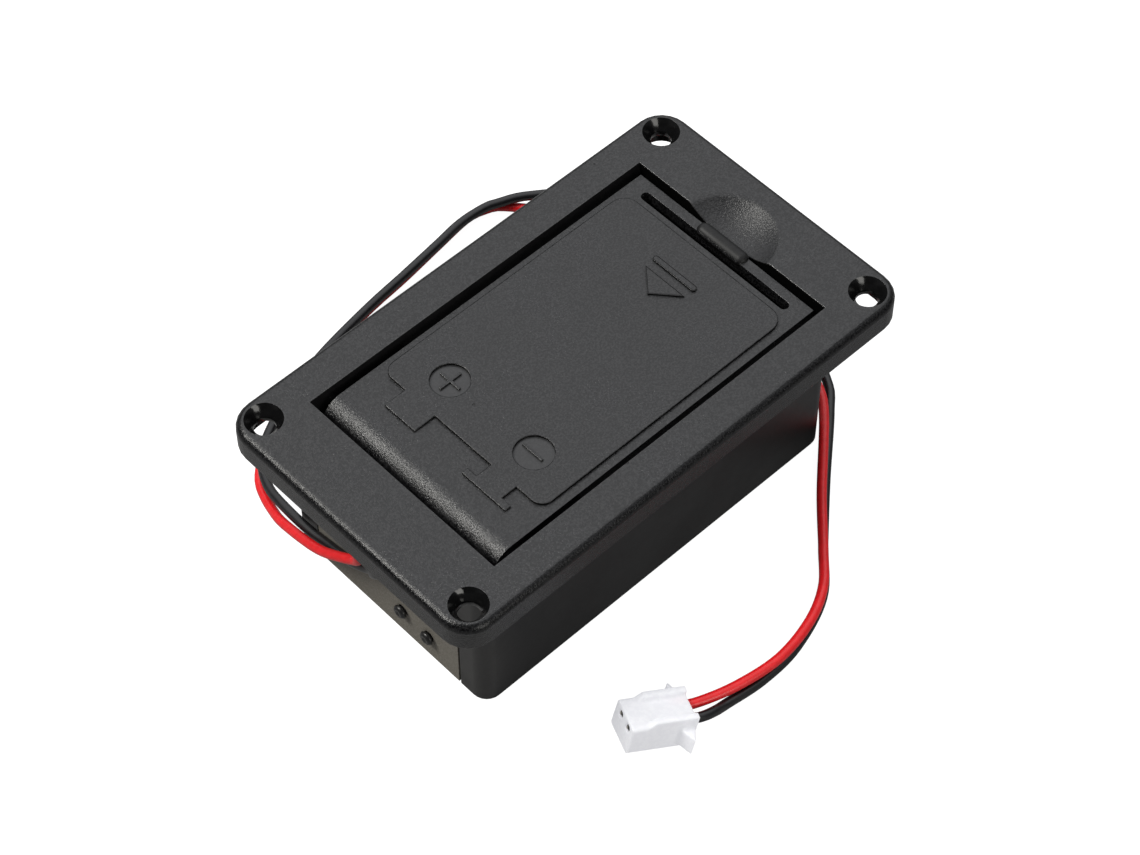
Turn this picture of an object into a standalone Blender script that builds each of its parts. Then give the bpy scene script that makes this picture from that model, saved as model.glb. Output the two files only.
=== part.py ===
"""Nine volt battery holder that drops into a panel cut-out, with a flip lid and a plug on two leads.

X runs along the holder towards the lid's latch, Y runs across it and Z points up out of the flange.
The origin is on the underside of the box, below the middle of the flange. All sizes are in metres.
"""
import math

import bmesh
import bpy
import numpy as np
from mathutils import Matrix, Vector

# Clearance between neighbouring pieces
GAP = 0.0003
# How far joined solids reach into each other before their union
OVERLAP = 0.0004

# Flange
HOLDER_HEIGHT = 0.0290
FLANGE_END_RIM = 0.0106
FLANGE_SIDE_RIM = 0.0061
FLANGE_CORNER_RADIUS = 0.0046
FLANGE_EDGE_RADIUS = 0.0012
SKIRT_DEPTH = 0.0046
SKIRT_WALL = 0.0016
PLATE_THICKNESS = 0.0026
SCREW_END_INSET = 0.0042
SCREW_SIDE_INSET = 0.0040
SCREW_HOLE_RADIUS = 0.0016
SCREW_MOUTH_RADIUS = 0.00276
SCREW_MOUTH_STEP = 0.00016
SCREW_MOUTH_DEPTH = 0.0004
COUNTERSINK_DEPTH = 0.0016

# Box below the flange
SPRING_ROOM = 0.0060
SIDE_WALL = 0.00155
LATCH_END_WALL = 0.0015
LATCH_LEDGE = 0.0008
FLOOR_THICKNESS = 0.0016
BOX_CORNER_RADIUS = 0.0025
INNER_WALL = 0.0015
CHAMBER_DEPTH = 0.0015
CHAMBER_SIDE_LEDGE = 0.0023
CHAMBER_TOP_LEDGE = 0.0008
CHAMBER_SILL = 0.0018

# Fibre sheet that closes the contact end
COVER_THICKNESS = 0.0005
COVER_WIDTH = 0.0290
COVER_BOTTOM = 0.00015
COVER_HEIGHT = 0.02215
STAKE_RADIUS = 0.0006
STAKE_BOSS_RADIUS = 0.0013
STAKE_HEAD_RADIUS = 0.00115
STAKE_HEAD_HEIGHT = 0.0007
STAKE_PLACES = ((-0.00855, 0.0049), (-0.00315, 0.0055), (-0.0096, 0.0195), (0.0096, 0.0195))

# Battery that the holder is made for
BATTERY_LENGTH = 0.0485
BATTERY_WIDTH = 0.0265
BATTERY_THICKNESS = 0.0175
TERMINAL_SPACING = 0.01295
BATTERY_END_PLAY = 0.0006
BATTERY_SIDE_PLAY = 0.0004
STOP_LENGTH = 0.0063
STOP_SPACING = 0.0160
RIB_REACH = 0.0047
RIB_THICKNESS = 0.0012
RIB_PITCH = 0.0170
RIB_COUNT = 3
RIB_CENTRE_X = 0.0030
RIB_HEIGHT = 0.0164

# Ledges that the lid lies on
RAIL_WIDTH = 0.0015
RAIL_DEPTH = 0.0024
RAIL_START_X = -0.0140

# Finger scoop beside the latch
SCOOP_SPHERE_RADIUS = 0.0145
SCOOP_DEPTH = 0.0024
SCOOP_SHIFT_Y = 0.0003
SCOOP_BACKING_LENGTH = 0.0089
SCOOP_BACKING_WIDTH = 0.0216

# Lid
LID_DROP = 0.0009
LID_THICKNESS = 0.0020
LID_SIDE_GAP = 0.0012
LID_END_GAP = 0.0009
NOSE_RADIUS = 0.0034
NOSE_WALL = 0.0015
NOSE_GAP = 0.0008
NOSE_END_ANGLE = math.radians(205)
CHEEK_INSET = 0.0004
CHEEK_THICKNESS = 0.0018
LID_PIN_RADIUS = 0.00095
LID_PIN_REACH = 0.0010
LATCH_BAR_WIDTH = 0.0016
LATCH_SLOT_WIDTH = 0.0015
LATCH_SLOT_LENGTH = 0.0288
THUMB_BAR_RADIUS = 0.00125
THUMB_BAR_LENGTH = 0.0095
THUMB_BAR_RISE = 0.00085
TOOTH_WIDTH = 0.0064
TOOTH_LENGTH = 0.0016
TOOTH_HEIGHT = 0.0016
TOOTH_DROP = 0.0012
CATCH_DEPTH = 0.0009

# Battery outline that stands up from the lid
OUTLINE_HEIGHT = 0.00025
OUTLINE_START_X = -0.0202
OUTLINE_END_X = 0.0260
OUTLINE_WIDTH = 0.03185
OUTLINE_SHIFT_Y = 0.000175
OUTLINE_START_RADIUS = 0.0020
OUTLINE_END_RADIUS = 0.0025
PLUS_END_LENGTH = 0.0037
PLUS_END_WIDTH = 0.0061
MINUS_STEM_LENGTH = 0.0026
MINUS_STEM_WIDTH = 0.0050
MINUS_HEAD_LENGTH = 0.0011
MINUS_HEAD_WIDTH = 0.0085
MARK_RADIUS = 0.00285
MARK_DEPTH = 0.00025
MARK_X = -0.01465
MARK_SPACING = 0.0167

# Foam under the lid
PAD_LENGTH = 0.0260
PAD_WIDTH = 0.0180
PAD_CENTRE_X = 0.0070
PAD_BATTERY_GAP = 0.0005

# Contact strips
STRIP_THICKNESS = 0.0003
STRIP_WIDTH = 0.0070
STRIP_SLOT_RISE = 0.0063
STRIP_FOOT_Z = 0.0039
SPRING_HALF_HEIGHT = 0.00505
TAB_WIDTH = 0.0024
TAB_REACH = 0.0012

# Leads
WIRE_RADIUS = 0.00075
WIRE_SPACING = 0.0100
WIRE_EXIT_Z = 0.0203
WIRE_POINT_SPACING = 0.0032
SOLDER_RADIUS = 0.00085

# Two-way plug
PLUG_LENGTH = 0.0098
PLUG_WIDTH = 0.0059
PLUG_THICKNESS = 0.0049
PLUG_EDGE_RADIUS = 0.0004
PLUG_PITCH = 0.0025
PLUG_RIDGE_WIDTH = 0.0011
PLUG_RIDGE_HEIGHT = 0.00085
PLUG_RIDGE_LENGTH = 0.0074
PLUG_RIDGE_RAMP = 0.0010
PLUG_EAR_REACH = 0.00095
PLUG_EAR_LENGTH = 0.0023
PLUG_EAR_START = 0.0003
PLUG_EAR_DEPTH = 0.0030
PLUG_CONTACT_HEIGHT = 0.0012
PLUG_BORE_DEPTH = 0.0025
PLUG_CAVITY_SIZE = 0.0018
PLUG_FRONT_WALL = 0.0007
PLUG_PIN_HOLE_SIZE = 0.0011
TERMINAL_WALL = 0.0002
TERMINAL_BARREL_LENGTH = 0.0022
PLUG_REAR = Vector((-0.01733, -0.04122, 0.00274))
PLUG_YAW = math.radians(155)
PLUG_NOSE_UP = math.radians(15)
PLUG_ROLL = math.radians(6)

ROUND_SEGMENTS = 32
SMALL_SEGMENTS = 20
CORNER_STEPS = 6

# Places that follow from the sizes above
PLATE_UNDERSIDE = HOLDER_HEIGHT - PLATE_THICKNESS
RIM_Z = HOLDER_HEIGHT - SKIRT_DEPTH
BATTERY_ROOM = BATTERY_LENGTH + BATTERY_END_PLAY
OPENING_LENGTH = SPRING_ROOM + BATTERY_ROOM + STOP_LENGTH + LATCH_LEDGE
OPENING_WIDTH = BATTERY_WIDTH + 2 * (BATTERY_SIDE_PLAY + RIB_REACH)
FLANGE_LENGTH = OPENING_LENGTH + 2 * FLANGE_END_RIM
FLANGE_WIDTH = OPENING_WIDTH + 2 * FLANGE_SIDE_RIM
SCREW_X = FLANGE_LENGTH / 2 - SCREW_END_INSET
SCREW_Y = FLANGE_WIDTH / 2 - SCREW_SIDE_INSET
OPENING_X = OPENING_LENGTH / 2
OPENING_Y = OPENING_WIDTH / 2
BOX_Y = OPENING_Y + SIDE_WALL
CAVITY_END_X = OPENING_X - LATCH_LEDGE
BOX_END_X = CAVITY_END_X + LATCH_END_WALL
CHAMBER_BACK_X = -OPENING_X - INNER_WALL
RECESS_X = CHAMBER_BACK_X - CHAMBER_DEPTH
COVER_X = RECESS_X - GAP - COVER_THICKNESS
BOX_START_X = COVER_X
RECESS_Y = COVER_WIDTH / 2 + GAP
RECESS_TOP = COVER_BOTTOM + COVER_HEIGHT + GAP
CHAMBER_Y = RECESS_Y - CHAMBER_SIDE_LEDGE
CHAMBER_TOP = RECESS_TOP - CHAMBER_TOP_LEDGE
LID_TOP = HOLDER_HEIGHT - LID_DROP
LID_UNDERSIDE = LID_TOP - LID_THICKNESS
LID_Y = OPENING_Y - LID_SIDE_GAP
LID_END_X = OPENING_X - LID_END_GAP
HINGE_X = -OPENING_X + NOSE_GAP + NOSE_RADIUS
HINGE_Z = LID_TOP - NOSE_RADIUS
TERMINAL_Y = TERMINAL_SPACING / 2
TERMINAL_Z = FLOOR_THICKNESS + BATTERY_THICKNESS / 2
STOP_X = CAVITY_END_X - STOP_LENGTH
SPRING_X = STOP_X - BATTERY_LENGTH - BATTERY_END_PLAY
SLOT_Z = TERMINAL_Z + STRIP_SLOT_RISE
STRIP_TAIL_X = CHAMBER_BACK_X - GAP - STRIP_THICKNESS / 2
STRIP_INSIDE_X = -OPENING_X + GAP + STRIP_THICKNESS / 2
WIRE_Y = WIRE_SPACING / 2
SOLDER_X = STRIP_TAIL_X - STRIP_THICKNESS / 2 - GAP
PLUG_BORE_RADIUS = WIRE_RADIUS + GAP

# Routes of the leads from their solder joints to the plug, chosen by hand
RED_ROUTE = (
    (-0.03430, 0.00500, 0.02030), (-0.03500, 0.00500, 0.02030), (-0.03651, 0.00465, 0.01996),
    (-0.03788, 0.00382, 0.01887), (-0.03837, 0.00278, 0.01756), (-0.03850, 0.00244, 0.01590),
    (-0.03827, 0.00299, 0.01403), (-0.03778, 0.00459, 0.01255), (-0.03800, 0.00721, 0.01090),
    (-0.03825, 0.00936, 0.00980), (-0.03806, 0.01354, 0.00780), (-0.03717, 0.01991, 0.00470),
    (-0.03620, 0.02326, 0.00300), (-0.03510, 0.02641, 0.00180), (-0.03370, 0.02942, 0.00100),
    (-0.03181, 0.03156, 0.00084), (-0.02763, 0.03508, 0.00084), (-0.02185, 0.03784, 0.00084),
    (-0.01265, 0.04068, 0.00084), (-0.00147, 0.04275, 0.00084), (0.00674, 0.04373, 0.00084),
    (0.01468, 0.04491, 0.00084), (0.02132, 0.04580, 0.00084), (0.02488, 0.04514, 0.00084),
    (0.02743, 0.04349, 0.00084), (0.03300, 0.03630, 0.00084), (0.03900, 0.02660, 0.00084),
    (0.04200, 0.01350, 0.00084), (0.04120, -0.00050, 0.00095), (0.03800, -0.01000, 0.00190),
    (0.03590, -0.01514, 0.00255), (0.03251, -0.01926, 0.00260), (0.02268, -0.02817, 0.00260),
    (0.01569, -0.03518, 0.00260), (0.01124, -0.03935, 0.00265), (0.00570, -0.04202, 0.00275),
    (-0.00155, -0.04329, 0.00280), (-0.00904, -0.04244, 0.00295), (-0.01528, -0.04067, 0.00341),
    (-0.01843, -0.03920, 0.00434),
)
BLACK_ROUTE = (
    (-0.03430, -0.00500, 0.02030), (-0.03500, -0.00500, 0.02030), (-0.03651, -0.00465, 0.01996),
    (-0.03785, -0.00385, 0.01887), (-0.03825, -0.00280, 0.01750), (-0.03780, -0.00125, 0.01545),
    (-0.03686, 0.00036, 0.01360), (-0.03680, 0.00322, 0.01160), (-0.03657, 0.00593, 0.00980),
    (-0.03618, 0.01118, 0.00770), (-0.03599, 0.01611, 0.00640), (-0.03524, 0.02260, 0.00490),
    (-0.03437, 0.02625, 0.00380), (-0.03264, 0.02974, 0.00300), (-0.03042, 0.03237, 0.00265),
    (-0.02833, 0.03403, 0.00255), (-0.02239, 0.03700, 0.00255), (-0.01315, 0.03991, 0.00255),
    (-0.00205, 0.04194, 0.00255), (0.00607, 0.04293, 0.00255), (0.01392, 0.04397, 0.00255),
    (0.01926, 0.04469, 0.00255), (0.02388, 0.04444, 0.00255), (0.02596, 0.04376, 0.00255),
    (0.03050, 0.04160, 0.00250), (0.03790, 0.03580, 0.00175), (0.04340, 0.02460, 0.00087),
    (0.04530, 0.01100, 0.00084), (0.04450, -0.00180, 0.00084), (0.03910, -0.01360, 0.00084),
    (0.03520, -0.01800, 0.00084), (0.02578, -0.02612, 0.00084), (0.01750, -0.03358, 0.00084),
    (0.01099, -0.03965, 0.00084), (0.00256, -0.04284, 0.00084), (-0.00470, -0.04343, 0.00088),
    (-0.01150, -0.04300, 0.00170), (-0.01410, -0.04315, 0.00285), (-0.01660, -0.04280, 0.00375),
    (-0.01942, -0.04148, 0.00459),
)


def clear_scene():
    for item in list(bpy.data.objects):
        bpy.data.objects.remove(item, do_unlink=True)


def make_material(name, colour, roughness, metallic=0.0):
    material = bpy.data.materials.new(name)
    material.use_nodes = True
    shader = material.node_tree.nodes["Principled BSDF"]
    shader.inputs["Base Color"].default_value = (*colour, 1.0)
    shader.inputs["Roughness"].default_value = roughness
    shader.inputs["Metallic"].default_value = metallic
    material.diffuse_color = (*colour, 1.0)
    return material


def add_solid(name, rings, material=None):
    """A closed solid through rings that have as many points each, with flat ends."""
    mesh = bmesh.new()
    rows = [[mesh.verts.new(point) for point in ring] for ring in rings]
    count = len(rows[0])
    for low, high in zip(rows, rows[1:]):
        for index in range(count):
            following = (index + 1) % count
            mesh.faces.new((low[index], low[following], high[following], high[index]))
    mesh.faces.new(list(reversed(rows[0])))
    mesh.faces.new(rows[-1])
    bmesh.ops.recalc_face_normals(mesh, faces=mesh.faces)
    data = bpy.data.meshes.new(name)
    mesh.to_mesh(data)
    mesh.free()
    solid = bpy.data.objects.new(name, data)
    bpy.context.collection.objects.link(solid)
    if material:
        data.materials.append(material)
    return solid


def on_axis(axis, along, first, second):
    """The point at a distance along one axis, with the other two coordinates in X, Y, Z order."""
    if axis == "X":
        return (along, first, second)
    if axis == "Y":
        return (first, along, second)
    return (first, second, along)


def prism(axis, outline, low, high, name="prism", material=None):
    rings = [[on_axis(axis, along, a, b) for a, b in outline] for along in (low, high)]
    return add_solid(name, rings, material)


def block(x_range, y_range, z_range, name="block", material=None):
    outline = [(x, y) for x, y in zip(np.take(x_range, (0, 1, 1, 0)), np.repeat(y_range, 2))]
    return prism("Z", outline, z_range[0], z_range[1], name, material)


def arc(centre, radius, start, end, steps):
    angles = np.linspace(start, end, steps + 1)
    return [(centre[0] + radius * math.cos(a), centre[1] + radius * math.sin(a)) for a in angles]


def rounded_rectangle(half_x, half_y, radius, steps=CORNER_STEPS):
    quarter = math.pi / 2
    outline = []
    for turn, (sign_x, sign_y) in enumerate(((1, 1), (-1, 1), (-1, -1), (1, -1))):
        centre = (sign_x * (half_x - radius), sign_y * (half_y - radius))
        outline += arc(centre, radius, turn * quarter, (turn + 1) * quarter, steps)
    return outline


def turned(axis, profile, first, second, segments, name="turned", material=None):
    """A solid of revolution; the profile lists (distance along the axis, radius)."""
    angles = [2 * math.pi * step / segments for step in range(segments)]
    rings = []
    for along, radius in profile:
        ring = [(first + radius * math.cos(a), second + radius * math.sin(a)) for a in angles]
        rings.append([on_axis(axis, along, a, b) for a, b in ring])
    return add_solid(name, rings, material)


def combine(body, tool, operation):
    """Join a tool to a body, or cut it away, and drop the tool."""
    modifier = body.modifiers.new("combine", "BOOLEAN")
    modifier.operation = operation
    modifier.solver = "EXACT"
    modifier.object = tool
    graph = bpy.context.evaluated_depsgraph_get()
    result = bpy.data.meshes.new_from_object(body.evaluated_get(graph))
    result.name = body.name
    body.modifiers.remove(modifier)
    body.data = result
    bpy.data.objects.remove(tool, do_unlink=True)


def join(body, *tools):
    for tool in tools:
        combine(body, tool, "UNION")


def cut(body, *tools):
    for tool in tools:
        combine(body, tool, "DIFFERENCE")


def shade(body, degrees=35):
    body.data.shade_smooth()
    body.data.set_sharp_from_angle(angle=math.radians(degrees))


def flange_blank():
    """The flange as a solid slab with rounded corners and a rolled top edge."""
    rings = []
    rounding = np.linspace(0, math.pi / 2, CORNER_STEPS)
    levels = [(RIM_Z, 0.0)]
    for angle in rounding:
        inset = FLANGE_EDGE_RADIUS * (1 - math.cos(angle))
        levels.append((HOLDER_HEIGHT - FLANGE_EDGE_RADIUS * (1 - math.sin(angle)), inset))
    for height, inset in levels:
        corner = FLANGE_CORNER_RADIUS - inset
        outline = rounded_rectangle(FLANGE_LENGTH / 2 - inset, FLANGE_WIDTH / 2 - inset, corner)
        rings.append([(x, y, height) for x, y in outline])
    return add_solid("flange", rings)


def skirt_hollow():
    corner = FLANGE_CORNER_RADIUS - SKIRT_WALL
    half_x = FLANGE_LENGTH / 2 - SKIRT_WALL
    half_y = FLANGE_WIDTH / 2 - SKIRT_WALL
    outline = rounded_rectangle(half_x, half_y, corner)
    return prism("Z", outline, RIM_Z - OVERLAP, PLATE_UNDERSIDE)


def box_blank():
    middle = (BOX_START_X + BOX_END_X) / 2
    outline = rounded_rectangle((BOX_END_X - BOX_START_X) / 2, BOX_Y, BOX_CORNER_RADIUS)
    shifted = [(x + middle, y) for x, y in outline]
    return prism("Z", shifted, 0.0, PLATE_UNDERSIDE + OVERLAP)


def screw_hole(x, y):
    profile = (
        (HOLDER_HEIGHT + OVERLAP, SCREW_MOUTH_RADIUS),
        (HOLDER_HEIGHT, SCREW_MOUTH_RADIUS),
        (HOLDER_HEIGHT - SCREW_MOUTH_DEPTH, SCREW_MOUTH_RADIUS - SCREW_MOUTH_STEP),
        (HOLDER_HEIGHT - COUNTERSINK_DEPTH, SCREW_HOLE_RADIUS),
        (PLATE_UNDERSIDE - OVERLAP, SCREW_HOLE_RADIUS),
    )
    return turned("Z", profile, x, y, ROUND_SEGMENTS)


def scoop_ball():
    centre_z = HOLDER_HEIGHT - SCOOP_DEPTH + SCOOP_SPHERE_RADIUS
    reach = math.acos((SCOOP_SPHERE_RADIUS - 2 * SCOOP_DEPTH) / SCOOP_SPHERE_RADIUS)
    profile = []
    for angle in np.linspace(reach, 0.02, 9):
        along = centre_z - SCOOP_SPHERE_RADIUS * math.cos(angle)
        profile.append((along, SCOOP_SPHERE_RADIUS * math.sin(angle)))
    return turned("Z", profile, CAVITY_END_X, SCOOP_SHIFT_Y, 2 * ROUND_SEGMENTS)


def guide_ribs():
    """Ribs up both side walls that keep the battery in the middle of the box."""
    ribs = []
    inner = BATTERY_WIDTH / 2 + BATTERY_SIDE_PLAY
    heights = (FLOOR_THICKNESS - OVERLAP, FLOOR_THICKNESS + RIB_HEIGHT)
    for index in range(RIB_COUNT):
        middle = RIB_CENTRE_X + (index - (RIB_COUNT - 1) / 2) * RIB_PITCH
        span = (middle - RIB_THICKNESS / 2, middle + RIB_THICKNESS / 2)
        ribs.append(block(span, (inner, OPENING_Y + OVERLAP), heights))
        ribs.append(block(span, (-OPENING_Y - OVERLAP, -inner), heights))
    for side in (-1, 1):
        middle = side * STOP_SPACING / 2
        span = (middle - RIB_THICKNESS / 2, middle + RIB_THICKNESS / 2)
        ribs.append(block((STOP_X, CAVITY_END_X + OVERLAP), span, heights))
    return ribs


def lid_rails():
    levels = (LID_UNDERSIDE - GAP - RAIL_DEPTH, LID_UNDERSIDE - GAP)
    length = (RAIL_START_X, CAVITY_END_X + OVERLAP)
    inner = OPENING_Y - RAIL_WIDTH
    return [
        block(length, (inner, OPENING_Y + OVERLAP), levels),
        block(length, (-OPENING_Y - OVERLAP, -inner), levels),
    ]


def stake(y, z):
    """A pin through the fibre sheet, on a boss that the sheet lies on, with a melted round head."""
    head_base = COVER_X - GAP
    profile = [
        (CHAMBER_BACK_X + OVERLAP, STAKE_BOSS_RADIUS),
        (RECESS_X, STAKE_BOSS_RADIUS),
        (RECESS_X, STAKE_RADIUS),
        (head_base, STAKE_RADIUS),
        (head_base, STAKE_HEAD_RADIUS),
        (head_base - 0.5 * STAKE_HEAD_HEIGHT, 0.96 * STAKE_HEAD_RADIUS),
        (head_base - 0.85 * STAKE_HEAD_HEIGHT, 0.78 * STAKE_HEAD_RADIUS),
        (head_base - STAKE_HEAD_HEIGHT, 0.5 * STAKE_HEAD_RADIUS),
        (head_base - 0.8 * STAKE_HEAD_HEIGHT, 0.2 * STAKE_HEAD_RADIUS),
    ]
    return turned("X", profile, y, z, SMALL_SEGMENTS)


def build_housing(material):
    body = flange_blank()
    cut(body, skirt_hollow())
    join(body, box_blank())
    backing_end = OPENING_X + SCOOP_BACKING_LENGTH
    backing_y = SCOOP_BACKING_WIDTH / 2
    join(body, block((OPENING_X, backing_end), (-backing_y, backing_y), (RIM_Z, PLATE_UNDERSIDE + OVERLAP)))
    cavity_top = RIM_Z + OVERLAP
    cut(
        body,
        block((-OPENING_X, CAVITY_END_X), (-OPENING_Y, OPENING_Y), (FLOOR_THICKNESS, cavity_top)),
        block((-OPENING_X, OPENING_X), (-OPENING_Y, OPENING_Y), (RIM_Z, HOLDER_HEIGHT + OVERLAP)),
        block((BOX_START_X - OVERLAP, RECESS_X), (-RECESS_Y, RECESS_Y), (-OVERLAP, RECESS_TOP)),
        block((RECESS_X - OVERLAP, CHAMBER_BACK_X), (-CHAMBER_Y, CHAMBER_Y), (CHAMBER_SILL, CHAMBER_TOP)),
        scoop_ball(),
    )
    for side_x in (-1, 1):
        for side_y in (-1, 1):
            cut(body, screw_hole(side_x * SCREW_X, side_y * SCREW_Y))
    bore = LID_PIN_RADIUS + GAP
    bore_end = OPENING_Y + LID_PIN_REACH
    slot_half = STRIP_WIDTH / 2 + GAP
    slot_heights = (SLOT_Z - STRIP_THICKNESS / 2 - GAP, SLOT_Z + STRIP_THICKNESS / 2 + GAP)
    slot_through = (CHAMBER_BACK_X - OVERLAP, -OPENING_X + OVERLAP)
    for side in (-1, 1):
        span = sorted((side * (OPENING_Y - OVERLAP), side * bore_end))
        cut(body, turned("Y", [(y, bore) for y in span], HINGE_X, HINGE_Z, ROUND_SEGMENTS))
        middle = side * TERMINAL_Y
        cut(body, block(slot_through, (middle - slot_half, middle + slot_half), slot_heights))
    join(body, *guide_ribs(), *lid_rails())
    catch_y = TOOTH_WIDTH / 2 + GAP + OVERLAP
    catch_low = LID_UNDERSIDE - TOOTH_DROP - GAP
    catch_high = LID_UNDERSIDE - TOOTH_DROP + TOOTH_HEIGHT
    cut(body, block((OPENING_X - OVERLAP, OPENING_X + CATCH_DEPTH), (-catch_y, catch_y), (catch_low, catch_high)))
    join(body, *(stake(y, z) for y, z in STAKE_PLACES))
    body.name = "housing"
    body.data.materials.clear()
    body.data.materials.append(material)
    shade(body)
    return body


def build_end_cover(material):
    half = COVER_WIDTH / 2
    sheet = block((COVER_X, COVER_X + COVER_THICKNESS), (-half, half),
                  (COVER_BOTTOM, COVER_BOTTOM + COVER_HEIGHT), "end_cover")
    through = (COVER_X - OVERLAP, COVER_X + COVER_THICKNESS + OVERLAP)
    for y, z in STAKE_PLACES:
        cut(sheet, turned("X", [(x, STAKE_RADIUS + GAP) for x in through], y, z, SMALL_SEGMENTS))
    for side in (-1, 1):
        hole = [(x, WIRE_RADIUS + GAP) for x in through]
        cut(sheet, turned("X", hole, side * WIRE_Y, WIRE_EXIT_Z, SMALL_SEGMENTS))
    sheet.data.materials.clear()
    sheet.data.materials.append(material)
    shade(sheet)
    return sheet


def lid_section():
    """The lid from its side: a flat cover that rolls over at the hinge end."""
    inner = NOSE_RADIUS - NOSE_WALL
    meet = math.asin((LID_UNDERSIDE - HINGE_Z) / inner)
    axis = (HINGE_X, HINGE_Z)
    section = [(LID_END_X, LID_UNDERSIDE), (LID_END_X, LID_TOP)]
    section += arc(axis, NOSE_RADIUS, math.pi / 2, NOSE_END_ANGLE, 22)
    section += arc(axis, inner, NOSE_END_ANGLE, meet, 16)
    return section


def battery_outline():
    """The battery seen from above, with its plus stud and its minus socket."""
    top = OUTLINE_SHIFT_Y + OUTLINE_WIDTH / 2
    bottom = OUTLINE_SHIFT_Y - OUTLINE_WIDTH / 2
    left = OUTLINE_START_X + OUTLINE_START_RADIUS
    right = OUTLINE_END_X - OUTLINE_END_RADIUS
    quarter = math.pi / 2
    low_left = (left, bottom + OUTLINE_START_RADIUS)
    low_right = (right, bottom + OUTLINE_END_RADIUS)
    high_right = (right, top - OUTLINE_END_RADIUS)
    high_left = (left, top - OUTLINE_START_RADIUS)
    points = arc(low_left, OUTLINE_START_RADIUS, 2 * quarter, 3 * quarter, CORNER_STEPS)
    points += arc(low_right, OUTLINE_END_RADIUS, 3 * quarter, 4 * quarter, CORNER_STEPS)
    points += arc(high_right, OUTLINE_END_RADIUS, 0, quarter, CORNER_STEPS)
    points += arc(high_left, OUTLINE_START_RADIUS, quarter, 2 * quarter, CORNER_STEPS)
    edge = OUTLINE_START_X
    mark_y = MARK_SPACING / 2
    plus_half = PLUS_END_WIDTH / 2
    points += [(edge, mark_y + plus_half), (edge - PLUS_END_LENGTH, mark_y + plus_half)]
    points += [(edge - PLUS_END_LENGTH, mark_y - plus_half), (edge, mark_y - plus_half)]
    stem = edge - MINUS_STEM_LENGTH
    head = stem - MINUS_HEAD_LENGTH
    stem_half = MINUS_STEM_WIDTH / 2
    head_half = MINUS_HEAD_WIDTH / 2
    points += [(edge, stem_half - mark_y), (stem, stem_half - mark_y)]
    points += [(stem, head_half - mark_y), (head, head_half - mark_y)]
    points += [(head, -head_half - mark_y), (stem, -head_half - mark_y)]
    points += [(stem, -stem_half - mark_y), (edge, -stem_half - mark_y)]
    return points


def latch_slot():
    slot_end = LID_END_X - LATCH_BAR_WIDTH
    half_y = LATCH_SLOT_LENGTH / 2
    half_x = LATCH_SLOT_WIDTH / 2
    middle = slot_end - half_x
    outline = rounded_rectangle(half_x, half_y, half_x * 0.98, 4)
    shifted = [(x + middle, y) for x, y in outline]
    return prism("Z", shifted, LID_UNDERSIDE - OVERLAP, LID_TOP + OVERLAP)


def thumb_bar():
    centre_x = OPENING_X - GAP - THUMB_BAR_RADIUS
    centre_z = LID_TOP + THUMB_BAR_RISE - THUMB_BAR_RADIUS
    half = THUMB_BAR_LENGTH / 2
    straight = half - THUMB_BAR_RADIUS
    profile = []
    for angle in np.linspace(-math.pi / 2 + 0.2, math.pi / 2 - 0.2, 12):
        shift = straight if angle > 0 else -straight
        along = shift + THUMB_BAR_RADIUS * math.sin(angle)
        profile.append((along, THUMB_BAR_RADIUS * math.cos(angle)))
    return turned("Y", profile, centre_x, centre_z, SMALL_SEGMENTS)


def build_lid(material):
    body = prism("Y", lid_section(), -LID_Y, LID_Y, "lid")
    cheek_radius = NOSE_RADIUS - CHEEK_INSET
    for side in (-1, 1):
        cheek = sorted((side * (LID_Y - CHEEK_THICKNESS), side * LID_Y))
        join(body, turned("Y", [(y, cheek_radius) for y in cheek], HINGE_X, HINGE_Z, ROUND_SEGMENTS))
        pin = sorted((side * (LID_Y - OVERLAP), side * (OPENING_Y + LID_PIN_REACH - GAP)))
        join(body, turned("Y", [(y, LID_PIN_RADIUS) for y in pin], HINGE_X, HINGE_Z, SMALL_SEGMENTS))
    join(body, prism("Z", battery_outline(), LID_TOP - OVERLAP, LID_TOP + OUTLINE_HEIGHT))
    for side in (-1, 1):
        disc = [(LID_TOP + OUTLINE_HEIGHT - MARK_DEPTH, MARK_RADIUS), (HOLDER_HEIGHT, MARK_RADIUS)]
        cut(body, turned("Z", disc, MARK_X, side * MARK_SPACING / 2, ROUND_SEGMENTS))
    cut(body, latch_slot())
    join(body, thumb_bar())
    tooth_end = OPENING_X - GAP
    tooth_low = LID_UNDERSIDE - TOOTH_DROP
    half = TOOTH_WIDTH / 2
    join(body, block((tooth_end - TOOTH_LENGTH, tooth_end), (-half, half), (tooth_low, tooth_low + TOOTH_HEIGHT)))
    body.data.materials.clear()
    body.data.materials.append(material)
    shade(body)
    return body


def build_pad(material):
    half_x = PAD_LENGTH / 2
    half_y = PAD_WIDTH / 2
    span_x = (PAD_CENTRE_X - half_x, PAD_CENTRE_X + half_x)
    bottom = FLOOR_THICKNESS + BATTERY_THICKNESS + PAD_BATTERY_GAP
    return block(span_x, (-half_y, half_y), (bottom, LID_UNDERSIDE - GAP), "lid_pad", material)


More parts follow.
